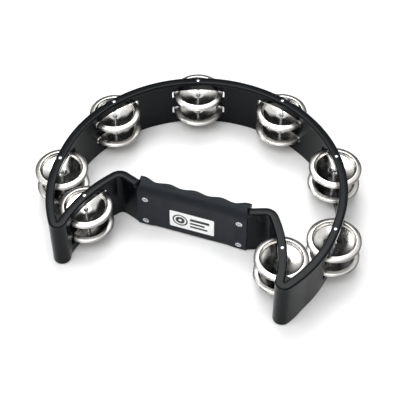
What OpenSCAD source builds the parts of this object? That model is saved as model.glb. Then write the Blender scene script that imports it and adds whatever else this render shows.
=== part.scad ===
// Half-moon hand tambourine: a moulded plastic frame with two rows of jingle
// slots, nested pairs of pressed steel jingles on vertical pins, and a
// two-shell grip screwed round the bar that closes the half moon.
// It lies flat: X to the player's right, Y away from the grip, Z up.

/* [Frame] */
// Radius of the frame's bends, from their centres to the middle of the wall
frame_r = 116; // [112:0.5:120]
// Height of the frame
frame_h = 48; // [46:0.5:52]
// Width of the rim along the top of the wall
rim_w = 7.2; // [6:0.1:8]
// Height of the rim
rim_h = 3.6; // [2.5:0.1:5]
// Thickness of the wall under the rim
wall_t = 3.9; // [3:0.1:5]
// Straight length of each side, between the half round and the lower bend
side_straight = 8.5; // [6:0.5:11]

/* [Jingle slots] */
// Height of a slot
slot_h = 10.2; // [10:0.1:11]
// Side room between a jingle and each end of its slot
slot_side_gap = 1.3; // [0.8:0.1:2]
// Angle between neighbouring stations on the half round
station_step = 38.2; // [37.5:0.1:40]

/* [Jingles] */
// Outer radius of a jingle
jingle_r = 21.7; // [20:0.1:22]
// Thickness of the pressed sheet
sheet_t = 0.5; // [0.4:0.05:0.6]
// Depth of a jingle, from the hub's underside to the rim's top
jingle_depth = 6.1; // [5.6:0.1:6.3]
// Radius of the hole in a jingle
jingle_hole_r = 1.9; // [1.6:0.1:2.2]
// Radius of the pins
pin_r = 1.15; // [0.9:0.05:1.3]

/* [Grip] */
// Length of the grip
grip_len = 93; // [90:1:94]
// Thickness of the grip, from its front face to its end crests
grip_t = 13.3; // [12.5:0.1:15]
// Length of the label
label_w = 38; // [30:1:44]
// Height of the label
label_h = 19.5; // [14:0.5:20]

/* [Hidden] */
$fn = 96;
// Overlap that makes cuts clean
cut = 1;

// The arm is a bend of the frame's radius about this point, from the half round's centre
arm_centre = [-27, -82];
// Bend radius of the hairpin at each front corner, at the middle of the wall
corner_r = rim_w / 2 + 0.2;
// Bend radius where the arm turns towards the grip, and the height of its centre
shoulder_r = 6.9;
shoulder_y = -18;
// Angle at which the frame runs down from the shoulder to the grip
lead_in = 20;
// Angle of the arm's station about arm_centre
arm_station = 20.2;
// Length of the solid foot on each leg of the hairpin, as an angle
foot_angle = 3.8;
// Room between the foot's sides and the rim's
foot_inset = 0.15;

// Where the circle about a with radius ra meets the one about b with radius rb,
// on the right of the line from a to b
function meet(a, ra, b, rb) =
    let (
        d = norm(b - a),
        along = (ra * ra - rb * rb + d * d) / (2 * d),
        side = sqrt(ra * ra - along * along),
        u = (b - a) / d
    )
    a + u * along + [-u[1], u[0]] * side;
function polar(c, r, angle) = c + r * [cos(angle), sin(angle)];
function bearing(a, b) = atan2(b[1] - a[1], b[0] - a[0]);

round_centre = [0, 0];
lower_centre = [0, -side_straight];
corner_centre = meet(lower_centre, frame_r - corner_r, arm_centre, frame_r + corner_r);
shoulder_centre = [
    arm_centre[0] + sqrt(pow(frame_r - shoulder_r, 2) - pow(shoulder_y - arm_centre[1], 2)),
    shoulder_y
];
corner_angle = bearing(lower_centre, corner_centre);
arm_start = bearing(arm_centre, corner_centre);
arm_end = bearing(arm_centre, shoulder_centre);

// Steps of the long bends and of the tight ones, in degrees
coarse = 3;
fine = 12;

function reversed(points) = [for (i = [len(points) - 1:-1:0]) points[i]];
function arc(c, r, from, to, step, with_last) =
    let (n = ceil(abs(to - from) / step))
    [for (i = [0:with_last ? n : n - 1]) polar(c, r, from + (to - from) * i / n)];

// The frame's line from the middle of the back, round the right side, through the
// hairpin and up the arm to the grip, moved by out towards its outer face
function lead_end(start, x) = [x, start[1] - (start[0] - x) * tan(lead_in)];
function band_side(out) = concat(
    arc(round_centre, frame_r + out, 90 - coarse / 2, 0, coarse, true),
    arc(lower_centre, frame_r + out, 0, corner_angle, coarse, false),
    arc(corner_centre, corner_r + out, corner_angle, arm_start - 180, fine, false),
    arc(arm_centre, frame_r - out, arm_start, arm_end, coarse, false),
    arc(shoulder_centre, shoulder_r - out, arm_end, 90 + lead_in, fine, true),
    [lead_end(polar(shoulder_centre, shoulder_r - out, 90 + lead_in), grip_len / 2 + grip_end_gap)]
);

// Stations of the jingles: a name, the pin's place and the bearing of the frame's
// outside there. The side stations lie past the straight, on the lower bend.
side_angle = -1.3;
arm_pin = polar(arm_centre, frame_r, arm_station);
side_pin = polar(lower_centre, frame_r, side_angle);
function mirrored(p) = [-p[0], p[1]];
function on_round(n) = polar(round_centre, frame_r, 90 - n * station_step);
STATIONS = [
    ["back_right", on_round(0.5), 90 - 0.5 * station_step],
    ["back_left", on_round(-0.5), 90 + 0.5 * station_step],
    ["shoulder_right", on_round(1.5), 90 - 1.5 * station_step],
    ["shoulder_left", on_round(-1.5), 90 + 1.5 * station_step],
    ["side_right", side_pin, side_angle],
    ["side_left", mirrored(side_pin), 180 - side_angle],
    ["arm_right", arm_pin, arm_station],
    ["arm_left", mirrored(arm_pin), 180 - arm_station]
];

// Two rows of slots, with the webs above, between and below them
low_web = (frame_h - 2 * slot_h) * 0.337;
mid_web = (frame_h - 2 * slot_h) * 0.304;
ROWS = [
    ["low", low_web],
    ["high", low_web + slot_h + mid_web]
];
slot_w = 2 * (jingle_r + slot_side_gap);
slot_cut = 14;

// Underside of a jingle, from the hub's hole out: hub, shallow bowl, steep step, flat rim
hub_r = 4.4;
step_in_r = jingle_r - 5.4;
step_out_r = jingle_r - 4.0;
step_h = 2.9;
rim_z = jingle_depth - sheet_t;
underside = [
    [jingle_hole_r, 0],
    [hub_r, 0],
    [step_in_r, rim_z - step_h],
    [step_out_r, rim_z],
    [jingle_r, rim_z]
];

// Jingles nest in pairs: the steep step sets how far apart the two lie
step_slope = atan2(step_h, step_out_r - step_in_r);
nest_gap = 0.3;
nest_pitch = sheet_t / cos(step_slope) + nest_gap;
seat_gap = 0.1;
PAIR = [
    ["under", seat_gap],
    ["over", seat_gap + nest_pitch]
];

// The pins stand in blind holes and their domed heads sit on the rim
pin_foot = 3;
head_r = 1.7;
head_h = 0.5;

// Grip: front face, parting plane, and the bar of the frame that the shells hold
grip_front = -19.2;
grip_back = grip_front + grip_t;
parting = grip_front + 6.6;
bar_front = grip_front + 2.8;
bar_back = parting + 0.2;
bar_z = [4, 40];
bar_room = 0.2;
grip_end_gap = 0.1;
front_top_r = 10;
back_top_r = 4;
bottom_r = 2;
groove_r = 26;
groove_depth = 3.3;
groove_pitch = 22;
waist_depth = 0.8;
waist_half = 31;
waist_ramp = 6;
label_recess = 0.3;
label_t = 0.4;
label_z = 17.2;
screw_x = 40;
screw_z = [5.5, 32];
screw_r = 1.3;
screw_head_r = 2.8;
screw_head_h = 1.6;
screw_sink = 0.15;
screw_tip = grip_front + 9.3;

// The origin is under the middle of the whole object's box
back_reach = frame_r * cos(station_step / 2) + jingle_r;
front_reach = corner_centre[1] - corner_r - rim_w / 2;
origin_y = (back_reach + front_reach) / 2;

module placed() {
    translate([0, -origin_y, 0])
        children();
}

// The band's outline from above, w wide
module band(w) {
    polygon(concat(
        reversed(band_side(w / 2)),
        [for (p = band_side(w / 2)) mirrored(p)],
        reversed([for (p = band_side(-w / 2)) mirrored(p)]),
        band_side(-w / 2)
    ));
}

// The hairpin at each front corner is filled, as a solid foot
module corner_foot() {
    half = rim_w / 2 - foot_inset;
    linear_extrude(frame_h - rim_h / 2)
        polygon(concat(
            arc(lower_centre, frame_r + half, corner_angle + foot_angle, corner_angle, coarse, false),
            arc(corner_centre, corner_r + half, corner_angle, arm_start - 180, fine, false),
            arc(arm_centre, frame_r - half, arm_start, arm_start + foot_angle, coarse, true)
        ));
}

module grip_bar() {
    reach = grip_len / 2 + grip_end_gap + rim_w / 4;
    translate([-reach, bar_front, bar_z[0]])
        cube([2 * reach, bar_back - bar_front, bar_z[1] - bar_z[0]]);
}

module frame() {
    color("#17181a")
        placed()
            difference() {
                union() {
                    linear_extrude(frame_h)
                        band(wall_t);
                    translate([0, 0, frame_h - rim_h])
                        linear_extrude(rim_h)
                            band(rim_w);
                    corner_foot();
                    mirror([1, 0, 0])
                        corner_foot();
                    grip_bar();
                }
                for (s = STATIONS)
                    translate([s[1][0], s[1][1], 0])
                        rotate([0, 0, s[2]]) {
                            for (row = ROWS)
                                translate([-slot_cut / 2, -slot_w / 2, row[1]])
                                    cube([slot_cut, slot_w, slot_h]);
                            translate([0, 0, pin_foot])
                                cylinder(r = pin_r, h = frame_h);
                        }
                screw_holes(screw_r + 0.3);
            }
}

// The other face of a sheet t thick whose one face runs along the points
function left_of(a, b) = [a[1] - b[1], b[0] - a[0]] / norm(b - a);
function sheet_top(points, t) =
    let (last = len(points) - 1)
    [
        for (i = [0:last])
            let (
                before = left_of(points[max(i - 1, 0)], points[max(i, 1)]),
                after = left_of(points[min(i, last - 1)], points[min(i + 1, last)])
            )
            points[i] + (before + after) * t / (1 + before * after)
    ];

// Pressed steel disc, a shallow bowl with a steep step under its flat rim
module jingle_section() {
    polygon(concat(underside, reversed(sheet_top(underside, sheet_t))));
}

module jingle(station, row, place) {
    color("#c9cbcd")
        placed()
            translate([station[1][0], station[1][1], row[1] + place[1]])
                rotate_extrude()
                    jingle_section();
}

module pin(station) {
    dome_r = (head_r * head_r + head_h * head_h) / (2 * head_h);
    color("#d6d8da")
        placed()
            translate([station[1][0], station[1][1], 0]) {
                translate([0, 0, pin_foot])
                    cylinder(r = pin_r, h = frame_h - pin_foot);
                intersection() {
                    translate([0, 0, frame_h + head_h - dome_r])
                        sphere(r = dome_r);
                    translate([0, 0, frame_h])
                        cylinder(r = head_r, h = head_h);
                }
            }
}

// What a rounded edge of radius r takes off a square corner at the origin
module edge_waste(r) {
    difference() {
        translate([-cut, -cut])
            square(r + cut);
        translate([r, r])
            circle(r = r);
    }
}

// The grip's cross section, with Y across and Z up
module grip_section() {
    difference() {
        translate([grip_front, 0])
            square([grip_t, frame_h]);
        translate([grip_front, 0])
            edge_waste(bottom_r);
        translate([grip_back, 0])
            mirror([1, 0])
                edge_waste(bottom_r);
        translate([grip_front, frame_h])
            mirror([0, 1])
                edge_waste(front_top_r);
        translate([grip_back, frame_h])
            mirror([1, 0])
                mirror([0, 1])
                    edge_waste(back_top_r);
    }
}

module grip_body() {
    difference() {
        translate([-grip_len / 2, 0, 0])
            rotate([90, 0, 90])
                linear_extrude(grip_len)
                    grip_section();
        for (i = [-1.5:1:1.5])
            translate([i * groove_pitch, grip_back - groove_depth + groove_r, -cut])
                cylinder(r = groove_r, h = frame_h + 2 * cut);
        translate([0, 0, -cut])
            linear_extrude(frame_h + 2 * cut)
                polygon([
                    [-waist_half - waist_ramp, grip_front - cut],
                    [-waist_half - waist_ramp, grip_front],
                    [-waist_half, grip_front + waist_depth],
                    [waist_half, grip_front + waist_depth],
                    [waist_half + waist_ramp, grip_front],
                    [waist_half + waist_ramp, grip_front - cut]
                ]);
        translate([
            -grip_len / 2 - cut,
            bar_front - bar_room,
            bar_z[0] - bar_room
        ])
            cube([
                grip_len + 2 * cut,
                bar_back - bar_front + 2 * bar_room,
                bar_z[1] - bar_z[0] + 2 * bar_room
            ]);
    }
}

module half_space(from, to) {
    translate([-grip_len, from, -cut])
        cube([2 * grip_len, to - from, frame_h + 2 * cut]);
}

module screw_holes(r) {
    for (x = [-screw_x, screw_x])
        for (z = screw_z)
            translate([x, grip_front - cut, z])
                rotate([-90, 0, 0])
                    cylinder(r = r, h = screw_tip - grip_front + cut);
}

module screw_sinks() {
    for (x = [-screw_x, screw_x])
        for (z = screw_z)
            translate([x, grip_front, z])
                rotate([-90, 0, 0]) {
                    translate([0, 0, -cut])
                        cylinder(r = screw_head_r, h = screw_sink + cut);
                    translate([0, 0, screw_sink])
                        cylinder(r1 = screw_head_r, r2 = screw_r, h = screw_head_h);
                }
}

module grip_front_shell() {
    color("#33373b")
        placed()
            difference() {
                intersection() {
                    grip_body();
                    half_space(grip_front - cut, parting);
                }
                screw_holes(screw_r + 0.2);
                screw_sinks();
                translate([
                    -label_w / 2,
                    grip_front + waist_depth - cut,
                    label_z - label_h / 2
                ])
                    cube([label_w, label_recess + cut, label_h]);
            }
}

module grip_rear_shell() {
    color("#2f3337")
        placed()
            difference() {
                intersection() {
                    grip_body();
                    half_space(parting, grip_back + cut);
                }
                screw_holes(screw_r);
            }
}

module grip_screws() {
    color("#cfd2d4")
        placed()
            for (x = [-screw_x, screw_x])
                for (z = screw_z)
                    translate([x, grip_front + screw_sink, z])
                        rotate([-90, 0, 0]) {
                            cylinder(r1 = screw_head_r, r2 = screw_r, h = screw_head_h);
                            cylinder(r = screw_r, h = screw_tip - grip_front - screw_sink);
                        }
}

module grip_label() {
    color("#eef0f0")
        placed()
            translate([
                -label_w / 2,
                grip_front + waist_depth + label_recess - label_t,
                label_z - label_h / 2
            ])
                cube([label_w, label_t, label_h]);
}

frame();
grip_front_shell();
grip_rear_shell();
grip_screws();
grip_label();
for (s = STATIONS) pin(s);
for (s = STATIONS) for (row = ROWS) for (p = PAIR)
    jingle(s, row, p);
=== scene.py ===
# %% [markdown]
# # A half-moon hand tambourine
#
# The real thing is a black plastic frame, moulded in one piece, that carries eight
# stations of steel jingles. A pin at each station passes through two slots, one above
# the other, and a pair of jingles hangs loose in each. A grip of two moulded shells is
# screwed round the bar that closes the half moon.
#
# The CAD model already has every piece in its place. This lesson rebuilds the pieces
# as finely rounded meshes, gives each its real material, and lights them on a plain
# white table. Lengths are in metres.

# %% Load the CAD frame
import math
import random

import bmesh
import bpy
from mathutils import Matrix, Vector


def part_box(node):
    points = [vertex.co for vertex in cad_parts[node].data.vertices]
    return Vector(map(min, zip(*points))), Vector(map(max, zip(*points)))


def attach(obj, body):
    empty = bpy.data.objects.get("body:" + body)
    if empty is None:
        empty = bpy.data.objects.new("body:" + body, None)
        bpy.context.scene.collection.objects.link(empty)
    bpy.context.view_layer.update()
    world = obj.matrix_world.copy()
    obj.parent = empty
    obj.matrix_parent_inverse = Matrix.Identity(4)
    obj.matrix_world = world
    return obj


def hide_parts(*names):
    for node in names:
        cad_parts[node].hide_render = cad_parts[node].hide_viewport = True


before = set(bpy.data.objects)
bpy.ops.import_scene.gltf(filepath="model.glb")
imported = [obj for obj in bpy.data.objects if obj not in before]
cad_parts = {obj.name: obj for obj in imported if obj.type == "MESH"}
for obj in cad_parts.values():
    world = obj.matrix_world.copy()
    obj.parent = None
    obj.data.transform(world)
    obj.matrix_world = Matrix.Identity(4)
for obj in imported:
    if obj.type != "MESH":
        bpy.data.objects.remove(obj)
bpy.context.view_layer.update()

MM = 0.001
STATIONS = sorted(name.removeprefix("pin_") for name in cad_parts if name.startswith("pin_"))
print("stations:", STATIONS)

# %% [markdown]
# ## The camera
#
# The view is a product photographer's: from the front, a little to the right and about
# fifty degrees up, with a longish lens so that the round of the frame stays round. The
# lens shift places the object in the picture without tilting the camera.

# %% Camera
CAMERA_AZIMUTH = math.radians(18.64)
CAMERA_HEIGHT = math.radians(49.8)
CAMERA_PLACE = Vector((203.6, -618.8, 778.6)) * MM
CAMERA_LENS_MM = 108
CAMERA_SHIFT = (-0.008, -0.022)
FILM_WIDTH_MM = 36


def look_back(azimuth, height):
    """The direction from the object to the camera."""
    flat = math.cos(height)
    return Vector((math.sin(azimuth) * flat, -math.cos(azimuth) * flat, math.sin(height)))


def make_camera():
    """A level camera: its right stays horizontal, and up follows from the other two."""
    data = bpy.data.cameras.new("camera")
    data.lens = CAMERA_LENS_MM
    data.sensor_width = FILM_WIDTH_MM
    data.shift_x, data.shift_y = CAMERA_SHIFT
    data.clip_start = 0.05
    camera = bpy.data.objects.new("camera", data)
    bpy.context.scene.collection.objects.link(camera)
    back = look_back(CAMERA_AZIMUTH, CAMERA_HEIGHT)
    right = Vector((math.cos(CAMERA_AZIMUTH), math.sin(CAMERA_AZIMUTH), 0))
    up = back.cross(right)
    turned = Matrix((right, up, back)).transposed().to_4x4()
    camera.matrix_world = Matrix.Translation(CAMERA_PLACE) @ turned
    bpy.context.scene.camera = camera


make_camera()
print("camera", [round(v, 3) for v in CAMERA_PLACE])

# %% [markdown]
# ## Helpers for materials
#
# Colours are picked on a screen, so they are written as sRGB hex and turned to the
# linear values that the shader works in. One function adds a node, its settings and
# its links, which keeps each material readable as a short recipe: patterns first, then
# the colour, roughness and height that they drive, and the shader last.

# %% Colour and node helpers
COLOUR_MIX = {"data_type": "RGBA"}
MIX_FACTOR, MIX_FIRST, MIX_SECOND, MIX_RESULT = 0, 6, 7, 2
# noise keeps mostly to the middle of its range
NOISE_SPAN = {"From Min": 0.35, "From Max": 0.65}


def linear(hex_colour):
    """sRGB hex, such as "#3a3f44", as linear red, green, blue and alpha."""
    out = []
    for i in (1, 3, 5):
        c = int(hex_colour[i:i + 2], 16) / 255
        out.append(c / 12.92 if c <= 0.04045 else ((c + 0.055) / 1.055) ** 2.4)
    return (*out, 1.0)


def add_node(tree, kind, settings, inputs, output=0):
    """Adds a node and gives one output. A socket among its inputs is linked, the rest are set."""
    node = tree.nodes.new("ShaderNode" + kind)
    for name, value in settings.items():
        setattr(node, name, value)
    for key, value in inputs.items():
        if isinstance(value, bpy.types.NodeSocket):
            tree.links.new(value, node.inputs[key])
        else:
            node.inputs[key].default_value = value
    return node.outputs[output] if node.outputs else None


def new_material(name):
    """A material with an empty tree, and the place on its object in mm."""
    material = bpy.data.materials.new(name)
    material.use_nodes = True
    tree = material.node_tree
    tree.nodes.clear()
    place = add_node(tree, "TexCoord", {}, {}, "Object")
    in_mm = add_node(tree, "VectorMath", {"operation": "SCALE"}, {0: place, "Scale": 1 / MM})
    return material, tree, in_mm


print("a mid grey on screen is", round(linear("#808080")[0], 3), "to the shader")

# %% [markdown]
# ## Materials
#
# **Black ABS** is the frame. ABS comes out of a polished mould with a soft gloss; up
# close the gloss breaks up a little, where the plastic shrank unevenly and where hands
# and tables have rubbed it. The eye sees a deep black with broad, slightly wavy
# reflections. A painted map could hold the wear, but noise laid out in real
# millimetres needs no unwrapping and looks right at any distance.

# %% Glossy black ABS
HANDLING_MM = 28
SCUFF_MM = 3.2
SHRINKAGE_MM = 6


def black_abs():
    material, tree, place = new_material("glossy_black_abs")
    handling = add_node(tree, "TexNoise", {}, {
        "Vector": place, "Scale": 1 / HANDLING_MM, "Detail": 4.0, "Roughness": 0.55})
    scuffs = add_node(tree, "TexNoise", {}, {
        "Vector": place, "Scale": 1 / SCUFF_MM, "Detail": 5.0, "Roughness": 0.7})
    handled = add_node(tree, "MapRange", {}, {"Value": handling, **NOISE_SPAN})
    scuffed = add_node(tree, "MapRange", {}, {
        "Value": scuffs, "From Min": 0.60, "From Max": 0.78, "To Max": 0.3})
    colour = add_node(tree, "Mix", COLOUR_MIX, {
        MIX_FACTOR: handled, MIX_FIRST: linear("#04070a"), MIX_SECOND: linear("#090d11")}, MIX_RESULT)
    colour = add_node(tree, "Mix", COLOUR_MIX, {
        MIX_FACTOR: scuffed, MIX_FIRST: colour, MIX_SECOND: linear("#1b1d20")}, MIX_RESULT)
    gloss = add_node(tree, "MapRange", {}, {
        "Value": handling, **NOISE_SPAN, "To Min": 0.13, "To Max": 0.22})
    gloss = add_node(tree, "Math", {"operation": "MULTIPLY_ADD"}, {0: scuffed, 1: 0.27, 2: gloss})
    # shrinkage leaves a very shallow waviness
    waves = add_node(tree, "TexNoise", {}, {
        "Vector": place, "Scale": 1 / SHRINKAGE_MM, "Detail": 2.0})
    normal = add_node(tree, "Bump", {}, {"Height": waves, "Distance": 0.03 * MM, "Strength": 0.6})
    shader = add_node(tree, "BsdfPrincipled", {}, {
        "Base Color": colour, "Roughness": gloss, "Normal": normal,
        "Metallic": 0.0, "IOR": 1.53, "Specular IOR Level": 0.10})
    add_node(tree, "OutputMaterial", {}, {"Surface": shader})
    return material


BLACK_ABS = black_abs()
print(BLACK_ABS.name, len(BLACK_ABS.node_tree.nodes), "nodes")

# %% [markdown]
# ** Textured slate ABS** is the grip. Its mould was spark eroded, which leaves a fine
# even grain that is comfortable to hold and hides wear. The grain is about 0.3 mm; it
# is drawn at 0.7 mm so that it still shows from arm's length. Patches that the fingers
# polish are a little smoother and darker. The same grain drives the height, and its
# crests are painted a lighter colour, a painted highlight where they would catch the light.

# %% Textured slate ABS
GRAIN_MM = 0.7
POLISH_MM = 17


def slate_abs():
    material, tree, place = new_material("textured_slate_abs")
    grain = add_node(tree, "TexNoise", {}, {
        "Vector": place, "Scale": 1 / GRAIN_MM, "Detail": 2.0, "Roughness": 0.6})
    polish = add_node(tree, "TexNoise", {}, {
        "Vector": place, "Scale": 1 / POLISH_MM, "Detail": 3.0, "Roughness": 0.55})
    polished = add_node(tree, "MapRange", {}, {"Value": polish, **NOISE_SPAN})
    # painted highlight: the grain's crests are lightened in colour where light would catch them
    crest_highlight = add_node(tree, "MapRange", {}, {
        "Value": grain, "From Min": 0.5, "From Max": 0.8, "To Max": 0.5})
    colour = add_node(tree, "Mix", COLOUR_MIX, {
        MIX_FACTOR: polished, MIX_FIRST: linear("#0f151b"), MIX_SECOND: linear("#171d22")}, MIX_RESULT)
    # 28303a is the colour of the painted highlight on the crests
    colour = add_node(tree, "Mix", COLOUR_MIX, {
        MIX_FACTOR: crest_highlight, MIX_FIRST: colour, MIX_SECOND: linear("#28303a")}, MIX_RESULT)
    gloss = add_node(tree, "MapRange", {}, {
        "Value": polish, **NOISE_SPAN, "To Min": 0.44, "To Max": 0.60})
    normal = add_node(tree, "Bump", {}, {"Height": grain, "Distance": 0.09 * MM, "Strength": 0.8})
    shader = add_node(tree, "BsdfPrincipled", {}, {
        "Base Color": colour, "Roughness": gloss, "Normal": normal,
        "Metallic": 0.0, "IOR": 1.53, "Specular IOR Level": 0.19})
    add_node(tree, "OutputMaterial", {}, {"Surface": shader})
    return material


SLATE_ABS = slate_abs()
print(SLATE_ABS.name, len(SLATE_ABS.node_tree.nodes), "nodes")

# %% [markdown]
# **Nickel-plated steel** makes the jingles. Each is pressed from half-millimetre sheet
# and spun against a buff before plating, so very fine rings run round it. They are
# finer than the eye resolves and are drawn 0.55 mm apart. The plating mirrors its
# surroundings softly, and years of clashing leave cloudy patches. The rims strike each
# other, so beyond the step they are duller, and look white in a bright room. Rings and
# dullness are measured from each jingle's own axis, so all of them share one material.

# %% Nickel-plated steel
BUFF_RINGS_MM = 0.55
RIM_STARTS_MM = 16.6
RIM_FADE_MM = 1.6
CLOUD_MM = 9
MARK_MM = 1.1


def nickel_plate():
    material, tree, place = new_material("nickel_plated_steel")
    cloud = add_node(tree, "TexNoise", {}, {
        "Vector": place, "Scale": 1 / CLOUD_MM, "Detail": 4.0, "Roughness": 0.55})
    marks = add_node(tree, "TexNoise", {}, {
        "Vector": place, "Scale": 1 / MARK_MM, "Detail": 5.0, "Roughness": 0.75})
    rings = add_node(tree, "TexWave", {
        "wave_type": "RINGS", "rings_direction": "Z", "wave_profile": "SIN"}, {
        "Vector": place, "Scale": 1 / (BUFF_RINGS_MM * math.pi), "Distortion": 0.6,
        "Detail": 2.0, "Detail Scale": 0.4}, "Fac")
    clouded = add_node(tree, "MapRange", {}, {"Value": cloud, **NOISE_SPAN})
    marked = add_node(tree, "MapRange", {}, {
        "Value": marks, "From Min": 0.64, "From Max": 0.80, "To Max": 0.4})
    colour = add_node(tree, "Mix", COLOUR_MIX, {
        MIX_FACTOR: clouded, MIX_FIRST: linear("#e6e5e2"), MIX_SECOND: linear("#d6d4d0")}, MIX_RESULT)
    colour = add_node(tree, "Mix", COLOUR_MIX, {
        MIX_FACTOR: marked, MIX_FIRST: colour, MIX_SECOND: linear("#9b9893")}, MIX_RESULT)
    flat = add_node(tree, "VectorMath", {"operation": "MULTIPLY"}, {0: place, 1: (1, 1, 0)})
    radius = add_node(tree, "VectorMath", {"operation": "LENGTH"}, {0: flat}, "Value")
    struck = add_node(tree, "MapRange", {}, {
        "Value": radius, "From Min": RIM_STARTS_MM, "From Max": RIM_STARTS_MM + RIM_FADE_MM,
        "To Max": 0.14})
    gloss = add_node(tree, "MapRange", {}, {
        "Value": cloud, **NOISE_SPAN, "To Min": 0.09, "To Max": 0.20})
    gloss = add_node(tree, "Math", {"operation": "ADD"}, {0: gloss, 1: struck})
    height = add_node(tree, "Math", {"operation": "MULTIPLY_ADD"}, {0: cloud, 1: 6.0, 2: rings})
    normal = add_node(tree, "Bump", {}, {"Height": height, "Distance": 0.02 * MM, "Strength": 0.16})
    shader = add_node(tree, "BsdfPrincipled", {}, {
        "Base Color": colour, "Roughness": gloss, "Normal": normal, "Metallic": 1.0})
    add_node(tree, "OutputMaterial", {}, {"Surface": shader})
    return material


NICKEL = nickel_plate()
print(NICKEL.name, len(NICKEL.node_tree.nodes), "nodes")

# %% [markdown]
# **Bright zinc-plated steel** is what small pins and screws are made of. It is paler
# and bluer than nickel, with a brushed look from the drawing die: fine lines that run
# along the wire, so the pattern is stretched along Z.

# %% Zinc-plated steel
PATCH_MM = 1.6
DRAWN_SCALE = (3.0, 3.0, 0.15)


def zinc_plate():
    material, tree, place = new_material("zinc_plated_steel")
    patches = add_node(tree, "TexNoise", {}, {
        "Vector": place, "Scale": 1 / PATCH_MM, "Detail": 3.0, "Roughness": 0.55})
    patched = add_node(tree, "MapRange", {}, {"Value": patches, **NOISE_SPAN})
    colour = add_node(tree, "Mix", COLOUR_MIX, {
        MIX_FACTOR: patched, MIX_FIRST: linear("#dde0e4"), MIX_SECOND: linear("#b9bec4")}, MIX_RESULT)
    gloss = add_node(tree, "MapRange", {}, {
        "Value": patches, **NOISE_SPAN, "To Min": 0.14, "To Max": 0.24})
    along = add_node(tree, "Mapping", {}, {"Vector": place, "Scale": DRAWN_SCALE})
    drawn = add_node(tree, "TexNoise", {}, {"Vector": along, "Scale": 1.0, "Detail": 3.0})
    normal = add_node(tree, "Bump", {}, {"Height": drawn, "Distance": 0.01 * MM, "Strength": 0.3})
    shader = add_node(tree, "BsdfPrincipled", {}, {
        "Base Color": colour, "Roughness": gloss, "Normal": normal, "Metallic": 1.0})
    add_node(tree, "OutputMaterial", {}, {"Surface": shader})
    return material


ZINC = zinc_plate()
print(ZINC.name, len(ZINC.node_tree.nodes), "nodes")

# %% [markdown]
# **Printed vinyl** is the label: white film under a satin laminate, with black ink.
# Film pressed over a moulded surface picks up its grain, faintly. Film and ink lie under
# the same laminate, so one recipe makes both and only the colours differ.

# %% Vinyl and ink
MOTTLE_MM = 4
FILM_GRAIN_MM = 0.8


def vinyl(name, light, dark, smoothest):
    material, tree, place = new_material(name)
    mottle = add_node(tree, "TexNoise", {}, {
        "Vector": place, "Scale": 1 / MOTTLE_MM, "Detail": 3.0, "Roughness": 0.55})
    mottled = add_node(tree, "MapRange", {}, {"Value": mottle, **NOISE_SPAN})
    colour = add_node(tree, "Mix", COLOUR_MIX, {
        MIX_FACTOR: mottled, MIX_FIRST: linear(light), MIX_SECOND: linear(dark)}, MIX_RESULT)
    gloss = add_node(tree, "MapRange", {}, {
        "Value": mottle, **NOISE_SPAN, "To Min": smoothest, "To Max": smoothest + 0.08})
    grain = add_node(tree, "TexNoise", {}, {
        "Vector": place, "Scale": 1 / FILM_GRAIN_MM, "Detail": 2.0})
    normal = add_node(tree, "Bump", {}, {"Height": grain, "Distance": 0.02 * MM, "Strength": 0.4})
    shader = add_node(tree, "BsdfPrincipled", {}, {
        "Base Color": colour, "Roughness": gloss, "Normal": normal, "Metallic": 0.0, "IOR": 1.5})
    add_node(tree, "OutputMaterial", {}, {"Surface": shader})
    return material


WHITE_VINYL = vinyl("white_printed_vinyl", "#fdfdfc", "#f6f7f7", 0.34)
BLACK_INK = vinyl("black_printing_ink", "#0e1012", "#191b1e", 0.38)
print(WHITE_VINYL.name, BLACK_INK.name)

# %% [markdown]
# ## Mesh helpers
#
# Everything here is either swept (a section carried along a line) or turned (a profile
# spun about an axis). Both are rings of points joined by quads, so one function joins
# rings, and each piece only has to say where its points are.

# %% Joining rings of points
FACE_AREA_WEIGHT = 80


def finish_mesh(name, bm, material):
    """Turns a bmesh into an object, with its faces looking outwards and smooth."""
    bmesh.ops.recalc_face_normals(bm, faces=bm.faces)
    for face in bm.faces:
        face.smooth = True
    mesh = bpy.data.meshes.new(name)
    bm.to_mesh(mesh)
    bm.free()
    mesh.materials.append(material)
    piece = bpy.data.objects.new(name, mesh)
    bpy.context.scene.collection.objects.link(piece)
    return piece


def join_rings(bm, rings):
    """Joins closed rings of points, each to the next, and caps the first and last."""
    loops = [[bm.verts.new(p) for p in ring] for ring in rings]
    for a, b in zip(loops, loops[1:]):
        for i in range(len(a)):
            j = (i + 1) % len(a)
            bm.faces.new((a[i], a[j], b[j], b[i]))
    bm.faces.new(loops[0])
    bm.faces.new(loops[-1])


def turn(bm, profile, steps, matrix=Matrix.Identity(4)):
    """Spins a closed profile of (radius, height) points about Z. Radius 0 makes a pole."""
    columns = []
    for r, z in profile:
        if r == 0:
            columns.append([bm.verts.new(matrix @ Vector((0, 0, z)))] * steps)
            continue
        ring = []
        for i in range(steps):
            a = 2 * math.pi * i / steps
            ring.append(bm.verts.new(matrix @ Vector((r * math.cos(a), r * math.sin(a), z))))
        columns.append(ring)
    for a, b in zip(columns, columns[1:] + columns[:1]):
        for i in range(steps):
            j = (i + 1) % steps
            corners = []
            for v in (a[i], a[j], b[j], b[i]):
                if v not in corners:
                    corners.append(v)
            if len(corners) > 2:
                bm.faces.new(corners)


def round_edges(piece, width_mm, segments=2, angle=35):
    """A small radius on every edge sharper than angle, as any moulded piece has."""
    bevel = piece.modifiers.new("edges", "BEVEL")
    bevel.width = width_mm * MM
    bevel.segments = segments
    bevel.limit_method = "ANGLE"
    bevel.angle_limit = math.radians(angle)
    bevel.use_clamp_overlap = True
    weigh_normals(piece)


def weigh_normals(piece):
    """Keeps big faces flat to the eye and lets the small ones beside them do the turning."""
    weigh = piece.modifiers.new("shading", "WEIGHTED_NORMAL")
    weigh.keep_sharp = True
    weigh.weight = FACE_AREA_WEIGHT


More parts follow.
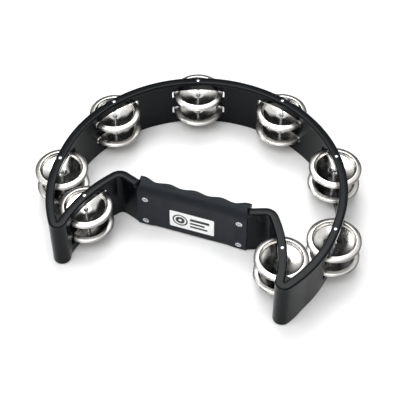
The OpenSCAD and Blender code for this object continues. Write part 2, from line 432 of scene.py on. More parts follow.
trial = bmesh.new()
turn(trial, [(0, 0), (1, 0), (1, 1), (0, 1)], 8)
print("a cylinder turned in 8 steps has", len(trial.faces), "faces")
trial.free()


# %% Curves in the plane
def arc_points(centre, radius, start, end, count):
    """count + 1 points from angle start to end, in degrees."""
    out = []
    for i in range(count + 1):
        a = math.radians(start + (end - start) * i / count)
        out.append(Vector((centre[0] + radius * math.cos(a), centre[1] + radius * math.sin(a))))
    return out


def ease(t):
    """0 to 1 with a smooth start and stop."""
    t = min(max(t, 0.0), 1.0)
    return t * t * (3 - 2 * t)


def rounded_rectangle(low, high, low_r, high_r, steps):
    """Points round a rectangle, with one radius for its low corners and one for its high."""
    out = []
    for centre, r, start in (
            ((high[0] - low_r, low[1] + low_r), low_r, -90),
            ((high[0] - high_r, high[1] - high_r), high_r, 0),
            ((low[0] + high_r, high[1] - high_r), high_r, 90),
            ((low[0] + low_r, low[1] + low_r), low_r, 180)):
        out += arc_points(centre, r, start, start + 90, steps)
    return out


print("half way along a rise, ease gives", ease(0.5), "and a quarter of the way", round(ease(0.25), 3))

# %% [markdown]
# ## The frame's line
#
# Seen from above, the wall follows one line made of bends that run into each other:
# the half round, a short straight, a lower bend of the same radius, a tight hairpin at
# the corner, the arm (the same radius once more, bent the other way) and a small
# shoulder that leads into the grip. The other side is its mirror image. The line is a
# list of bends, and `at` finds the place and the outward direction at any distance
# along it, so slots, rim and feet can all ask the same question.

# %% The line as a list of bends
BEND = 116 * MM
RIM_WIDTH = 7.2 * MM
RIM_HEIGHT = 3.6 * MM
WALL = 3.9 * MM
SIDE_STRAIGHT = 8.5 * MM
HAIRPIN = RIM_WIDTH / 2 + 0.2 * MM
SHOULDER = 6.9 * MM
LEAD_IN = 20
GRIP_OVERLAP = 0.6 * MM
GRIP_LOW, GRIP_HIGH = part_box("grip_rear_shell")
FRAME_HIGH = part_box("frame")[1]
HEIGHT = FRAME_HIGH.z
ROUND_CENTRE = Vector((0, FRAME_HIGH.y - BEND - RIM_WIDTH / 2))
LOWER_CENTRE = ROUND_CENTRE + Vector((0, -SIDE_STRAIGHT))
ARM_CENTRE = ROUND_CENTRE + Vector((-27, -82)) * MM
SHOULDER_Y = ROUND_CENTRE.y - 18 * MM


def meet(a, ra, b, rb):
    """Where two circles meet, on the left of the line from a to b."""
    d = (b - a).length
    along = (ra * ra - rb * rb + d * d) / (2 * d)
    side = math.sqrt(ra * ra - along * along)
    u = (b - a) / d
    return a + u * along + Vector((-u.y, u.x)) * side


def bearing(a, b):
    return math.degrees(math.atan2(b.y - a.y, b.x - a.x))


HAIRPIN_CENTRE = meet(LOWER_CENTRE, BEND - HAIRPIN, ARM_CENTRE, BEND + HAIRPIN)
SHOULDER_CENTRE = Vector((
    ARM_CENTRE.x + math.sqrt((BEND - SHOULDER) ** 2 - (SHOULDER_Y - ARM_CENTRE.y) ** 2),
    SHOULDER_Y))
CORNER_ANGLE = bearing(LOWER_CENTRE, HAIRPIN_CENTRE)
ARM_START = bearing(ARM_CENTRE, HAIRPIN_CENTRE)
ARM_END = bearing(ARM_CENTRE, SHOULDER_CENTRE)
# centre, radius, first and last angle, and whether the outside is away from the centre
BENDS = [
    (ROUND_CENTRE, BEND, 90, 0, True),
    None,
    (LOWER_CENTRE, BEND, 0, CORNER_ANGLE, True),
    (HAIRPIN_CENTRE, HAIRPIN, CORNER_ANGLE, ARM_START - 180, True),
    (ARM_CENTRE, BEND, ARM_START, ARM_END, False),
    (SHOULDER_CENTRE, SHOULDER, ARM_END, 90 + LEAD_IN, False),
]


def bend_length(bend):
    if bend is None:
        return SIDE_STRAIGHT
    return bend[1] * math.radians(abs(bend[3] - bend[2]))


STARTS = [0.0]
for bend in BENDS:
    STARTS.append(STARTS[-1] + bend_length(bend))
LEAD_POINT = arc_points(SHOULDER_CENTRE, SHOULDER, 90 + LEAD_IN, 90 + LEAD_IN, 1)[0]
LEAD_LENGTH = (LEAD_POINT.x - GRIP_HIGH.x + GRIP_OVERLAP) / math.cos(math.radians(LEAD_IN))
LINE_LENGTH = STARTS[-1] + LEAD_LENGTH


def at(s):
    """The point and the outward direction at distance s from the middle of the back."""
    side = -1 if s < 0 else 1
    s = abs(s)
    if s >= STARTS[-1]:
        way = math.radians(180 + LEAD_IN)
        point = LEAD_POINT + Vector((math.cos(way), math.sin(way))) * (s - STARTS[-1])
        out = Vector((-math.sin(way), math.cos(way)))
    else:
        index = max(i for i in range(len(BENDS)) if s >= STARTS[i] - 1e-12)
        bend = BENDS[index]
        if bend is None:
            point = ROUND_CENTRE + Vector((BEND, STARTS[index] - s))
            out = Vector((1, 0))
        else:
            centre, radius, first, last, outward = bend
            turned = math.degrees((s - STARTS[index]) / radius)
            angle = math.radians(first + math.copysign(turned, last - first))
            ray = Vector((math.cos(angle), math.sin(angle)))
            point = centre + ray * radius
            out = ray if outward else -ray
    return Vector((point.x * side, point.y)), Vector((out.x * side, out.y))


print("frame line, half length in mm:", round(LINE_LENGTH / MM, 1))


# %% [markdown]
# ## The wall and its slots
#
# The wall is two strips of quads bent along the line, five rows high. A slot is a
# stretch of the second or fourth row that is left out of both. Its ends are rounded by
# letting the rows' heights follow a small arc, so the strips stay a tidy grid, and the
# slot's floor, ceiling and ends join one strip to the other. Cutting the slots with
# booleans would leave long thin faces that shade badly. The wall is thinner at the
# bottom, because a moulding needs draft to leave its mould.

# %% Slots along the line
JINGLE_LOW, JINGLE_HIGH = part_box("jingle_back_left_low_under")
JINGLE_RADIUS = (JINGLE_HIGH.x - JINGLE_LOW.x) / 2
SLOT_HEIGHT = 10.2 * MM
SLOT_CORNER = 1.6 * MM
SLOT_SIDE_GAP = 1.3 * MM
# what the slots leave of the height is shared between the webs under, between and over them
WEB_SUM = HEIGHT - 2 * SLOT_HEIGHT
LOW_WEB = 0.337 * WEB_SUM
MIDDLE_WEB = 0.304 * WEB_SUM
SLOT_FLOORS = (LOW_WEB, LOW_WEB + SLOT_HEIGHT + MIDDLE_WEB)
SLOT_HALF = BEND * math.asin((JINGLE_RADIUS + SLOT_SIDE_GAP) / BEND)
WALL_TOP = HEIGHT - RIM_HEIGHT / 2
DRAFT = 0.6 * MM


def nearest_on_line(point):
    """Distance along the line of the place nearest to a pin."""
    steps = 4000
    best = min(range(steps + 1), key=lambda i: (at(LINE_LENGTH * i / steps)[0] - point).length)
    return LINE_LENGTH * best / steps


def pin_place(station):
    low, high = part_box("pin_" + station)
    return Vector(((low.x + high.x) / 2, (low.y + high.y) / 2))


SLOTS = []
for station in STATIONS:
    place = pin_place(station)
    s = nearest_on_line(Vector((abs(place.x), place.y)))
    SLOTS.append(math.copysign(s, place.x))
print("slots at mm:", [round(s / MM, 1) for s in SLOTS])

# %% Columns of the wall
LEAD_STEPS = 5
CORNER_STEPS = 4
COLUMN_GAP = 0.7 * MM


def line_steps(big_mm=2.2, tight_degrees=9):
    """Distances along one half of the line, closer together in the tight bends."""
    out = [0.0]
    for index, bend in enumerate(BENDS):
        length = bend_length(bend)
        count = math.ceil(length / (big_mm * MM))
        if bend is not None:
            count = max(count, math.ceil(abs(bend[3] - bend[2]) / tight_degrees))
        out += [STARTS[index] + length * (i + 1) / count for i in range(count)]
    out += [STARTS[-1] + LEAD_LENGTH * (i + 1) / LEAD_STEPS for i in range(LEAD_STEPS)]
    return out


def both_halves(steps):
    return [-s for s in reversed(steps[1:])] + steps


def slot_inset(s):
    """How far a slot's floor has risen at s, or None outside every slot."""
    for centre in SLOTS:
        depth = SLOT_HALF - abs(s - centre)
        if depth > -1e-9:
            if depth >= SLOT_CORNER:
                return 0.0
            return SLOT_CORNER - math.sqrt(max(0, SLOT_CORNER ** 2 - (SLOT_CORNER - depth) ** 2))
    return None


def wall_columns():
    """Distances of the wall's columns: an even run, with the slots' rounded ends let in."""
    ends = []
    for centre in SLOTS:
        for i in range(CORNER_STEPS + 1):
            depth = SLOT_CORNER * (1 - math.cos(math.pi / 2 * i / CORNER_STEPS))
            ends += [centre - SLOT_HALF + depth, centre + SLOT_HALF - depth]
    even = [s for s in both_halves(line_steps())
            if all(abs(s - e) > COLUMN_GAP for e in ends)]
    return sorted(even + ends)


print("columns of the wall:", len(wall_columns()))


# %% Build the wall
ROWS = 5
SLOT_ROWS = (1, 3)
WALL_EDGE_MM = 0.35


def wall_half(z, outer):
    """Half thickness at height z: only the outer face has draft."""
    return WALL / 2 - (DRAFT * (1 - z / HEIGHT) if outer else 0)


def wall_column(bm, s):
    """The points up the outer and the inner face at s, and whether s is in a slot."""
    inset = slot_inset(s)
    lift = SLOT_CORNER if inset is None else inset
    heights = [0.0]
    for floor in SLOT_FLOORS:
        heights += [floor + lift, floor + SLOT_HEIGHT - lift]
    heights.append(WALL_TOP)
    point, out = at(s)
    faces = []
    for side in (1, -1):
        places = [point + out * side * wall_half(z, side > 0) for z in heights]
        faces.append([bm.verts.new((p.x, p.y, z)) for p, z in zip(places, heights)])
    return inset is not None, faces


def build_wall():
    bm = bmesh.new()
    columns = [wall_column(bm, s) for s in wall_columns()]
    last = len(columns) - 1
    for i, (in_slot, (outer, inner)) in enumerate(columns):
        open_behind = i > 0 and in_slot and columns[i - 1][0]
        open_ahead = i < last and in_slot and columns[i + 1][0]
        for row in range(ROWS):
            ends_slot = row in SLOT_ROWS and open_behind != open_ahead
            if ends_slot or i in (0, last):
                bm.faces.new((outer[row], outer[row + 1], inner[row + 1], inner[row]))
        if i == last:
            break
        outer2, inner2 = columns[i + 1][1]
        edges = {0, ROWS}
        for row in range(ROWS):
            if row in SLOT_ROWS and open_ahead:
                edges |= {row, row + 1}
                continue
            for near, far in ((outer, outer2), (inner, inner2)):
                bm.faces.new((near[row], far[row], far[row + 1], near[row + 1]))
        for edge in sorted(edges):
            bm.faces.new((outer[edge], outer2[edge], inner2[edge], inner[edge]))
    wall = finish_mesh("frame_wall", bm, BLACK_ABS)
    round_edges(wall, WALL_EDGE_MM)
    return wall


WALL_PIECE = build_wall()
print("wall faces:", len(WALL_PIECE.data.polygons))

# %% [markdown]
# ## The rim
#
# A flange runs round the top of the wall and stiffens it. Its section is a rectangle
# with well-rounded upper edges, where the moulding is handled most, and it is swept
# along the same line. A curve with a bevel could do it too, but rings of our own keep
# the section upright through the hairpins.

# %% Sweep the rim
RIM_DRAFT = 0.06 * MM
RIM_UNDER_R = 0.5 * MM
RIM_UPPER_R = 1.0 * MM
RIM_STEP_MM = 1.6
RIM_STEP_DEGREES = 7
RIM_EDGE_STEPS = 4


def build_rim():
    half = RIM_WIDTH / 2 - RIM_DRAFT
    section = rounded_rectangle(
        (-half, HEIGHT - RIM_HEIGHT), (half, HEIGHT), RIM_UNDER_R, RIM_UPPER_R, RIM_EDGE_STEPS)
    rings = []
    for s in both_halves(line_steps(RIM_STEP_MM, RIM_STEP_DEGREES)):
        point, out = at(s)
        rings.append([(point.x + out.x * p.x, point.y + out.y * p.x, p.y) for p in section])
    bm = bmesh.new()
    join_rings(bm, rings)
    return finish_mesh("frame_rim", bm, BLACK_ABS)


RIM_PIECE = build_rim()
print("rim faces:", len(RIM_PIECE.data.polygons))

# %% [markdown]
# ## The corner feet
#
# At each front corner the wall folds back on itself, and the moulding is filled to a
# solid foot. From outside it looks like a smooth boot: full at the tip, and fading
# into the thin wall as it runs up each leg. One outline drawn at several heights makes
# it, because it can follow the wall's draft and round its own bottom edge.

# %% Build the feet
FOOT = RIM_WIDTH / 2 - 0.15 * MM
# how far the foot runs up each leg, in degrees of its bend
OUTER_LEG = 11.0
ARM_LEG = 3.8
INNER_FACE = WALL / 2 - 0.05 * MM
PROUD = 0.03 * MM
BOTTOM_EDGE = 0.8 * MM
EDGE_STEPS = 4
FOOT_LEVELS_MM = (8, 16, 24, 32, 40)
FOOT_SHARP = 40
OUTER_STEPS, TOE_STEPS, ARM_STEPS, INNER_STEPS = 16, 22, 8, 6


def leg(centre, away, start, end, first, last, count):
    """Points along a leg whose distance from the line eases from first to last."""
    out = []
    for i in range(count + 1):
        t = i / count
        a = math.radians(start + (end - start) * t)
        r = BEND + away * (first + (last - first) * ease(t))
        out.append(centre + Vector((math.cos(a), math.sin(a))) * r)
    return out


def foot_outline(z, inset):
    """The foot's outline at height z, drawn in by inset for the radius along its bottom."""
    thin = wall_half(z, True) + PROUD - inset
    full = FOOT - inset
    inner = INNER_FACE - inset
    outer_end, arm_end = CORNER_ANGLE + OUTER_LEG, ARM_START + ARM_LEG
    toe = (CORNER_ANGLE, ARM_START - 180)
    points = leg(LOWER_CENTRE, 1, outer_end, CORNER_ANGLE, thin, full, OUTER_STEPS)[:-1]
    points += arc_points(HAIRPIN_CENTRE, HAIRPIN + full, *toe, TOE_STEPS)[:-1]
    points += leg(ARM_CENTRE, -1, ARM_START, arm_end, full, thin, ARM_STEPS)
    points += leg(ARM_CENTRE, 1, arm_end, arm_end, inner, inner, 1)[:1]
    points += leg(LOWER_CENTRE, -1, CORNER_ANGLE + ARM_LEG, outer_end, inner, inner, INNER_STEPS)
    return points


def build_feet():
    quarter = [math.pi / 2 * k / EDGE_STEPS for k in range(EDGE_STEPS + 1)]
    levels = [(BOTTOM_EDGE * (1 - math.cos(a)), BOTTOM_EDGE * (1 - math.sin(a))) for a in quarter]
    levels += [(z * MM, 0) for z in FOOT_LEVELS_MM] + [(WALL_TOP, 0)]
    bm = bmesh.new()
    for side in (1, -1):
        rings = []
        for z, inset in levels:
            rings.append([(p.x * side, p.y, z) for p in foot_outline(z, inset)])
        join_rings(bm, rings)
    feet = finish_mesh("frame_feet", bm, BLACK_ABS)
    # the ends stand square to the wall, and must not tint the shading of its face
    feet.data.set_sharp_from_angle(angle=math.radians(FOOT_SHARP))
    weigh_normals(feet)
    return feet


FEET = build_feet()
print("feet faces:", len(FEET.data.polygons))

# %% [markdown]
# ## The bar inside the grip
#
# The frame runs on between the grip's shells as a plain flat bar. It hardly shows, but
# it is what the screws clamp, so a rectangle carried from end to end is enough.

# %% Build the bar and make one frame
BAR_DEPTHS = (2.8 * MM, 6.8 * MM)
BAR_HEIGHTS = (4 * MM, 40 * MM)
BAR_OVERLAP = 1.2 * MM
BAR_EDGE_MM = 0.4


def build_bar():
    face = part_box("grip_front_shell")[0].y
    (near, far), (low, high) = BAR_DEPTHS, BAR_HEIGHTS
    section = ((face + near, low), (face + far, low), (face + far, high), (face + near, high))
    reach = GRIP_HIGH.x + BAR_OVERLAP
    bm = bmesh.new()
    join_rings(bm, [[(x, y, z) for y, z in section] for x in (-reach, reach)])
    bar = finish_mesh("frame_bar", bm, BLACK_ABS)
    round_edges(bar, BAR_EDGE_MM)
    return bar


FRAME_PIECES = [WALL_PIECE, RIM_PIECE, FEET, build_bar()]
for piece in FRAME_PIECES:
    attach(piece, "body")
    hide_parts("frame")
print("frame pieces:", [piece.name for piece in FRAME_PIECES])

# %% [markdown]
# ## The grip's shells
#
# Two shells close round the bar. The front one is flat, waisted by less than a
# millimetre, with a broad radius along its top for the heel of the hand. The rear one
# has four finger grooves. Each shell is lofted: at every step along its length a
# section is drawn from the front and back faces' depth at that place. That way the
# grooves run smoothly into the rounded top, which cutting them out wouldn't give.

# %% Faces of the grip
GRIP_HALF = GRIP_HIGH.x
GRIP_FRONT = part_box("grip_front_shell")[0].y
GRIP_BACK = GRIP_HIGH.y
PARTING = GRIP_LOW.y
SEAM = 0.08 * MM
TOP_FRONT_R = 10 * MM
TOP_BACK_R = 4 * MM
BOTTOM_R = 2 * MM
GROOVE_PITCH = 22 * MM
GROOVE_DEPTH = 3.3 * MM
RIDGE_HEIGHT = 1.8 * MM
LAST_GROOVE = 1.5 * GROOVE_PITCH
END_RISE = 10.5 * MM
WAIST_DEPTH = 0.8 * MM
WAIST_HALF = 30 * MM
WAIST_RISE = 8 * MM
FRONT_LEVELS_MM = (8, 14, 20, 26, 32)
REAR_LEVELS_MM = (36, 29, 22, 15, 8)
TOP_STEPS = 10
TOP_BACK_STEPS = 7
BOTTOM_STEPS = 5


def front_face(x):
    """Depth of the flat front, a little waisted in the middle."""
    return GRIP_FRONT + WAIST_DEPTH * (1 - ease((abs(x) - WAIST_HALF) / WAIST_RISE))


def back_face(x):
    """Depth of the back: four grooves with ridges between, and a rise at each end."""
    groove = GRIP_BACK - GROOVE_DEPTH
    if abs(x) > LAST_GROOVE:
        return groove + GROOVE_DEPTH * ease((abs(x) - LAST_GROOVE) / END_RISE)
    return groove + RIDGE_HEIGHT / 2 * (1 + math.cos(2 * math.pi * x / GROOVE_PITCH))


def arc_height(offset, radius):
    """Height lost at an edge of that radius, offset from the face."""
    if offset >= radius:
        return 0.0
    return radius - math.sqrt(max(0.0, radius ** 2 - (radius - offset) ** 2))


def edge_offsets(radius, steps):
    """Depths that step evenly round an edge."""
    return [radius * (1 - math.cos(math.pi / 2 * i / steps)) for i in range(steps + 1)]


def top_height(y, x):
    """Height of the grip's top at depth y, rounded over at the front and the back."""
    return HEIGHT - max(arc_height(y - front_face(x), TOP_FRONT_R),
                        arc_height(back_face(x) - y, TOP_BACK_R))


def front_section(x):
    """Up the front of the front shell, from its seam at the bottom to the one on top."""
    face = front_face(x)
    seam = PARTING - SEAM
    under = reversed(edge_offsets(BOTTOM_R, BOTTOM_STEPS))
    bottom = [(face + d, arc_height(d, BOTTOM_R)) for d in under]
    flat = [(face, z * MM) for z in FRONT_LEVELS_MM]
    turn_end = math.acos(1 - (seam - face) / TOP_FRONT_R)
    top = []
    for i in range(TOP_STEPS + 1):
        d = TOP_FRONT_R * (1 - math.cos(turn_end * i / TOP_STEPS))
        top.append((face + d, top_height(face + d, x)))
    return [(seam, 0.0)] + bottom + flat + top


def rear_section(x):
    """Down the back of the rear shell, from its seam on top to the one at the bottom."""
    face = back_face(x)
    seam = PARTING + SEAM
    start = face - TOP_BACK_R
    run = [seam + (start - seam) * i / 4 for i in range(4)]
    top = [(y, top_height(y, x)) for y in run]
    for d in reversed(edge_offsets(TOP_BACK_R, TOP_BACK_STEPS)):
        top.append((face - d, top_height(face - d, x)))
    flat = [(face, z * MM) for z in REAR_LEVELS_MM]
    under = edge_offsets(BOTTOM_R, BOTTOM_STEPS)
    bottom = [(face - d, arc_height(d, BOTTOM_R)) for d in under]
    return top + flat + bottom + [(seam, 0.0)]


print("depth of the grip in mm, at its middle and its end:",
      [round((back_face(x) - front_face(x)) / MM, 1) for x in (0, GRIP_HALF)])

# %% Loft the shells
LOFT_STEPS = 93


def loft_shell(name, section):
    rings = []
    for i in range(LOFT_STEPS + 1):
        x = GRIP_HALF * (2 * i / LOFT_STEPS - 1)
        rings.append([(x, y, z) for y, z in section(x)])
    bm = bmesh.new()
    join_rings(bm, rings)
    return finish_mesh(name, bm, SLATE_ABS)


FRONT_SHELL = loft_shell("grip_front", front_section)
REAR_SHELL = loft_shell("grip_rear", rear_section)
print("shell faces:", len(FRONT_SHELL.data.polygons), len(REAR_SHELL.data.polygons))

# %% [markdown]
# ## Screws
#
# Four small countersunk screws hold the shells together. The front shell gets a sink
# for each head, cut with a boolean, and each head has a cross recess. A cut is the
# honest way to make both: they are cuts in the real part too.

# %% Places of the screws
SCREW_X = 40 * MM
SCREW_Z = (5.5 * MM, 32 * MM)
SCREW_R = 1.3 * MM
HEAD_R = 2.8 * MM
HEAD_H = 1.6 * MM
SINK = 0.15 * MM
SINK_GAP = 0.1 * MM
OVERSHOOT = 1 * MM
SINK_STEPS = 40
SHELL_EDGE_MM = 0.22
SHELL_SHARP = 40
SCREW_PLACES = [(x, z) for x in (-SCREW_X, SCREW_X) for z in SCREW_Z]


def facing_front(x, y, z):
    """Puts a piece made along Z so that it points back along +Y from the front face."""
    return Matrix.Translation((x, y, z)) @ Matrix.Rotation(math.radians(-90), 4, "X")


def cut_with(piece, cutter):
    """Subtracts the cutter from the piece and removes the cutter."""
    modifier = piece.modifiers.new("cut", "BOOLEAN")
    modifier.object = cutter
    modifier.operation = "DIFFERENCE"
    modifier.solver = "EXACT"
    bpy.context.view_layer.update()
    shape = piece.evaluated_get(bpy.context.evaluated_depsgraph_get())
    mesh = bpy.data.meshes.new_from_object(shape)
    piece.modifiers.remove(modifier)
    piece.data = mesh
    bpy.data.objects.remove(cutter)


def sink_cutter():
    """The shape of all four sinks, starting in front of the face so that the cut is clean."""
    bm = bmesh.new()
    edge = HEAD_R + SINK_GAP
    bottom = SINK + HEAD_H
    profile = [(0, -OVERSHOOT), (edge, -OVERSHOOT), (edge, SINK), (SCREW_R, bottom), (0, bottom)]
    for x, z in SCREW_PLACES:
        turn(bm, profile, SINK_STEPS, facing_front(x, GRIP_FRONT, z))
    return finish_mesh("sinks", bm, SLATE_ABS)


cut_with(FRONT_SHELL, sink_cutter())
for shell in (FRONT_SHELL, REAR_SHELL):
    round_edges(shell, SHELL_EDGE_MM, angle=SHELL_SHARP)
for piece, node in ((FRONT_SHELL, "grip_front_shell"), (REAR_SHELL, "grip_rear_shell")):
    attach(piece, "body")
    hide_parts(node)
print("front shell after its sinks:", len(FRONT_SHELL.data.polygons))


# %% Turn the screws and cut their crosses
CROSS_REACH = 1.75 * MM
CROSS_TIP = 0.75 * MM
CROSS_HALF = 0.36 * MM
CROSS_DEPTH = 0.9 * MM
CROSS_LEAD = 0.3 * MM
CROSS_TURN = 20
SCREW_STEPS = 32


def screw_profile():
    """A countersunk head with a softened edge, on a plain shank with a short point."""
    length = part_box("grip_screws")[1].y - GRIP_FRONT - SINK
    head = [(0, 0), (HEAD_R - 0.15 * MM, 0), (HEAD_R, 0.12 * MM), (HEAD_R - 0.05 * MM, 0.25 * MM)]
    shank = [(SCREW_R + 0.05 * MM, HEAD_H), (SCREW_R, HEAD_H + 0.2 * MM), (SCREW_R, length - 0.8 * MM)]
    return head + shank + [(0.3 * MM, length), (0, length)]


def cross_cutter():
    """A tapered plus sign for each head, pointing into it."""
    bm = bmesh.new()
    turned = Matrix.Rotation(math.radians(CROSS_TURN), 4, "Z")
    for x, z in SCREW_PLACES:
        place = facing_front(x, GRIP_FRONT + SINK, z) @ turned
        rings = []
        for reach, depth in ((CROSS_REACH + CROSS_LEAD, -CROSS_LEAD), (CROSS_TIP, CROSS_DEPTH)):
            arm = [Vector((CROSS_HALF, -CROSS_HALF, depth)), Vector((reach, -CROSS_HALF, depth)),
                   Vector((reach, CROSS_HALF, depth))]
            rings.append([place @ Matrix.Rotation(math.radians(90 * k), 4, "Z") @ p
                          for k in range(4) for p in arm])
        join_rings(bm, rings)
    return finish_mesh("crosses", bm, ZINC)


def build_screws():
    bm = bmesh.new()
    for x, z in SCREW_PLACES:
        turn(bm, screw_profile(), SCREW_STEPS, facing_front(x, GRIP_FRONT + SINK, z))
    screws = finish_mesh("grip_screw_set", bm, ZINC)
    cut_with(screws, cross_cutter())
    return screws


SCREWS = build_screws()
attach(SCREWS, "body")
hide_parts("grip_screws")
print("screw faces:", len(SCREWS.data.polygons))

# %% [markdown]
# ## Label
#
# The label is a thin film with rounded corners, set in the front face. Its print is a
# plain design of its own: a jingle seen from above and three bars. The ink could be a
# mask on the film, but as thin meshes its edges stay sharp at any distance.

# %% Film and print
LABEL_LOW, LABEL_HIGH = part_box("grip_label")
LABEL_FACE = LABEL_LOW.y
LABEL_CORNER = 1.2 * MM
FILM_TUCK = 0.1 * MM
FILM_EDGE_MM = 0.08
FILM_CORNER_STEPS = 6
INK_PROUD = 0.03 * MM
INK_TUCK = 0.02 * MM
# the jingle: outer and inner radius of its rim and of its bowl
PRINT_CENTRE_MM = 9
PRINT_RINGS_MM = ((6.6, 5.3), (4.0, 1.4))
# the bars: height of the middle, length and thickness
BARS_START_MM = 17.5
BARS_MM = ((3.6, 16.5, 3.0), (-0.9, 12.5, 2.0), (-4.9, 15.0, 2.0))
BAR_CORNER = 0.45 * MM
BAR_CORNER_STEPS = 3
RING_STEPS = 48


def plate(bm, low, high, radius, steps, front, back):
    """A flat plate with rounded corners, between (x, z) points low and high."""
    outline = rounded_rectangle(low, high, radius, radius, steps)
    join_rings(bm, [[(p.x, y, p.y) for p in outline] for y in (front, back)])


def build_label():
    bm = bmesh.new()
    low, high = (LABEL_LOW.x, LABEL_LOW.z), (LABEL_HIGH.x, LABEL_HIGH.z)
    plate(bm, low, high, LABEL_CORNER, FILM_CORNER_STEPS, LABEL_FACE, LABEL_HIGH.y + FILM_TUCK)
    label = finish_mesh("label_film", bm, WHITE_VINYL)
    round_edges(label, FILM_EDGE_MM, segments=1, angle=40)
    return label


def build_print():
    bm = bmesh.new()
    front, back = LABEL_FACE - INK_PROUD, LABEL_FACE + INK_TUCK
    thick = back - front
    middle = (LABEL_LOW.z + LABEL_HIGH.z) / 2
    place = facing_front(LABEL_LOW.x + PRINT_CENTRE_MM * MM, front, middle)
    for outer_mm, inner_mm in PRINT_RINGS_MM:
        outer, inner = outer_mm * MM, inner_mm * MM
        turn(bm, [(inner, 0), (outer, 0), (outer, thick), (inner, thick)], RING_STEPS, place)
    left = LABEL_LOW.x + BARS_START_MM * MM
    for z_mm, length_mm, thick_mm in BARS_MM:
        low = (left, middle + (z_mm - thick_mm / 2) * MM)
        high = (left + length_mm * MM, middle + (z_mm + thick_mm / 2) * MM)
        plate(bm, low, high, BAR_CORNER, BAR_CORNER_STEPS, front, back)
    return finish_mesh("label_print", bm, BLACK_INK)


LABEL_PIECES = [build_label(), build_print()]
for piece in LABEL_PIECES:
    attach(piece, "body")
    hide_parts("grip_label")
print("label pieces:", [piece.name for piece in LABEL_PIECES])

# %% [markdown]
# ## Pins
#
# A pin is a length of drawn wire, headed at one end and pressed down through the rim.
# Only its low domed head and the stretch across each slot show. It is round all the way,
# so one turned profile gives head, shank and end.

# %% Turn a pin for every station
PIN_RADIUS = 1.15 * MM
HEAD_SEAT = 0.05 * MM
PIN_END_LENGTH = 0.4 * MM
PIN_END_CUT = 0.3 * MM
PIN_STEPS = 28
PIN_EDGE_MM = 0.08


def pin_profile():
    """A low dome for a head, and a shank whose end is chamfered."""
    low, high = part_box("pin_" + STATIONS[0])
    head, dome = (high.x - low.x) / 2, high.z - HEIGHT
    angles = [math.radians(a) for a in range(0, 91, 10)]
    top = [(head * math.sin(a), HEIGHT + dome * math.cos(a)) for a in angles]
    seat = HEIGHT - HEAD_SEAT
    return top + [(head, seat), (PIN_RADIUS, seat), (PIN_RADIUS, low.z + PIN_END_LENGTH),
                  (PIN_RADIUS - PIN_END_CUT, low.z), (0, low.z)]


def make_pin(name):
    bm = bmesh.new()
    turn(bm, pin_profile(), PIN_STEPS)
    pin = finish_mesh(name, bm, ZINC)
    round_edges(pin, PIN_EDGE_MM, segments=1, angle=50)
    return pin


for station in STATIONS:
    pin = make_pin("steel_pin_" + station)
    place = pin_place(station)
    pin.location = (place.x, place.y, 0)
    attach(pin, "body")
    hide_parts("pin_" + station)
print("pins:", len(STATIONS))

# %% [markdown]
# ## Jingles
#
# A jingle is a disc of thin sheet pressed between two dies: a small flat hub, a shallow
# bowl, a steep step and a rim that curls down a little to its tumbled edge. Every bend
# of a pressed sheet is a radius, so the profile is a smooth line through the die's
# corners, given its thickness afterwards. The curl matters to the eye: on the near side
# it turns the rim to the lights as a white band, and on the far side to the dark of the
# room. No two are quite the same: each gets its own gentle warp, from press and use.

# %% The die's line
JINGLE_HOLE = 1.9 * MM
HUB_RADIUS = 4.4 * MM
SHEET = 0.5 * MM
JINGLE_DEPTH = JINGLE_HIGH.z - JINGLE_LOW.z
STEP_IN = JINGLE_RADIUS - 5.4 * MM
STEP_OUT = JINGLE_RADIUS - 4.0 * MM
RIM_FACE = JINGLE_DEPTH - SHEET
BOWL_EDGE = RIM_FACE - 2.9 * MM
# how far from a corner of the die its curve starts
HUB_CURVE_MM, BOWL_CURVE_MM, RIM_CURVE_MM = 1.2, 0.7, 0.45
CURL = 1.25 * MM
EDGE_TRIM = 0.12 * MM


def curled_rim(steps=8):
    """The rim's line from the step to the edge, falling faster as it goes out."""
    out = []
    for i in range(steps + 1):
        along = i / steps
        drop = CURL * (0.5 * along + 0.5 * along ** 3)
        place = (STEP_OUT + (JINGLE_RADIUS - STEP_OUT) * along, RIM_FACE - drop)
        out.append((place, 0 if i else RIM_CURVE_MM))
    return out


DIE_CORNERS = [
    ((JINGLE_HOLE, 0), 0), ((HUB_RADIUS, 0), HUB_CURVE_MM), ((STEP_IN, BOWL_EDGE), BOWL_CURVE_MM),
    *curled_rim()]


def rounded_line(corners, steps=5):
    """A line through the corners. One with a reach is a curve that starts that far off."""
    points = [Vector(p) for p, _ in corners]
    out = [points[0]]
    for i in range(1, len(points) - 1):
        corner, reach = points[i], corners[i][1] * MM
        if not reach:
            out.append(corner)
            continue
        before = corner + (points[i - 1] - corner).normalized() * reach
        after = corner + (points[i + 1] - corner).normalized() * reach
        out += [out[-1].lerp(before, t) for t in (0.33, 0.67)]
        for k in range(steps + 1):
            t = k / steps
            out.append(before.lerp(corner, t).lerp(corner.lerp(after, t), t))
    return out + [points[-1]]


def sheet_profile(line, thickness):
    """A closed profile: the line, and the same line one thickness above it, within its width."""
    widest = line[-1].x
    above = []
    for i, p in enumerate(line):
        way = (line[min(i + 1, len(line) - 1)] - line[max(i - 1, 0)]).normalized()
        point = p + Vector((-way.y, way.x)) * thickness
        above.append(Vector((min(point.x, widest), point.y)))
    edge = [Vector((widest, line[-1].y + thickness * t)) for t in (0.25, 0.75)]
    for end in (line, above):
        end[-1] = end[-1] - Vector((EDGE_TRIM, 0))
    return line + edge + above[::-1]


JINGLE_PROFILE = sheet_profile(rounded_line(DIE_CORNERS), SHEET)
print("points in the jingle's profile:", len(JINGLE_PROFILE))

# %% Press every jingle
WAVES_ROUND = (2, 3, 5)
WAVE_SIZES_MM = (0.03, 0.09)
# the hub stays true out to this share of the radius
TRUE_SHARE = 0.3
JINGLE_STEPS = 96


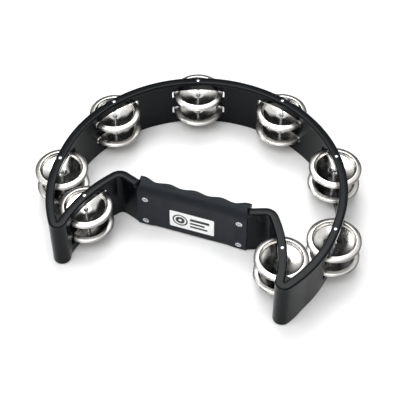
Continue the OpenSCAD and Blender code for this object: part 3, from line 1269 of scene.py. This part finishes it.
def press_jingle(name, rng):
    """One jingle about its own axis, warped a little by the press and by use."""
    bm = bmesh.new()
    turn(bm, JINGLE_PROFILE, JINGLE_STEPS)
    waves = [(rng.uniform(0, math.tau), n, rng.uniform(*WAVE_SIZES_MM) * MM) for n in WAVES_ROUND]
    for vert in bm.verts:
        share = math.hypot(vert.co.x, vert.co.y) / JINGLE_RADIUS
        a = math.atan2(vert.co.y, vert.co.x)
        fade = ease((share - TRUE_SHARE) / (1 - TRUE_SHARE))
        vert.co.z += fade * sum(size * math.sin(n * a + start) for start, n, size in waves)
    return finish_mesh(name, bm, NICKEL)


rng = random.Random(7)
jingle_nodes = sorted(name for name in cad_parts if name.startswith("jingle_"))
for node in jingle_nodes:
    low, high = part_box(node)
    jingle = press_jingle(node.replace("jingle_", "disc_"), rng)
    jingle.location = ((low.x + high.x) / 2, (low.y + high.y) / 2, low.z)
    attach(jingle, node)
    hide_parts(node)
print("jingles:", len(jingle_nodes))

# %% [markdown]
# ## Table and light
#
# A product on white: a pale matt sheet, a room with dark walls and a bright ceiling,
# and four big soft boxes. Black gloss and metal are only ever seen by what they
# reflect. The one overhead lies along the rim's top, the front one turns the near rims
# of the jingles white, the left one models the corners, and the low one fills the label.

# %% Floor
FLOOR_HALF = 6
FLOOR_GAP = 0.4 * MM
FIBRE_MM = 5


def build_floor():
    material, tree, place = new_material("white_paper")
    fibres = add_node(tree, "TexNoise", {}, {"Vector": place, "Scale": 1 / FIBRE_MM, "Detail": 3.0})
    colour = add_node(tree, "Mix", COLOUR_MIX, {
        MIX_FACTOR: fibres, MIX_FIRST: linear("#fbfbfb"), MIX_SECOND: linear("#f6f6f6")}, MIX_RESULT)
    shader = add_node(tree, "BsdfPrincipled", {}, {"Base Color": colour, "Roughness": 0.9})
    add_node(tree, "OutputMaterial", {}, {"Surface": shader})
    bm = bmesh.new()
    bmesh.ops.create_grid(bm, x_segments=2, y_segments=2, size=FLOOR_HALF)
    floor = finish_mesh("floor", bm, material)
    floor.location.z = -FLOOR_GAP


build_floor()
print("floor is", 2 * FLOOR_HALF, "m wide and", round(FLOOR_GAP / MM, 1), "mm under the frame")

# %% Room
# sines of the heights at which the room's walls end and its ceiling starts
WALLS_END = 0.54
CEILING_STARTS = 0.70
WALLS_LIGHT = 0.012
CEILING_LIGHT = 0.92


def build_sky(walls, ceiling):
    """A room whose walls are dimmer than its ceiling, which gives metal its contrast."""
    world = bpy.data.worlds.new("studio_room")
    world.use_nodes = True
    tree = world.node_tree
    tree.nodes.clear()
    way = add_node(tree, "TexCoord", {}, {}, "Generated")
    height = add_node(tree, "SeparateXYZ", {}, {"Vector": way}, "Z")
    strength = add_node(tree, "MapRange", {}, {
        "Value": height, "From Min": WALLS_END, "From Max": CEILING_STARTS,
        "To Min": walls, "To Max": ceiling})
    light = add_node(tree, "Background", {}, {"Color": linear("#ffffff"), "Strength": strength})
    add_node(tree, "OutputWorld", {}, {"Surface": light})
    bpy.context.scene.world = world
    bpy.context.scene.view_settings.view_transform = "Standard"


build_sky(WALLS_LIGHT, CEILING_LIGHT)
print("the ceiling is", round(CEILING_LIGHT / WALLS_LIGHT), "times as bright as the walls")


# %% Soft boxes
def soft_box(name, place, size, power):
    """A rectangular light of that size in metres and power in watts, aimed at the object."""
    data = bpy.data.lights.new(name, "AREA")
    data.shape = "RECTANGLE"
    data.size, data.size_y = size
    data.energy = power
    light = bpy.data.objects.new(name, data)
    bpy.context.scene.collection.objects.link(light)
    light.location = place
    light.rotation_euler = (-Vector(place)).to_track_quat("-Z", "Y").to_euler()


soft_box("overhead", (-0.2, 0.55, 1.3), (0.8, 0.7), 9.0)
soft_box("front", (-0.1, -0.5, 1.25), (1.0, 0.7), 8.0)
soft_box("left", (-1.1, -0.4, 0.8), (0.5, 0.6), 2.0)
soft_box("low_front", (0.1, -1.3, 0.5), (0.8, 0.6), 2.5)
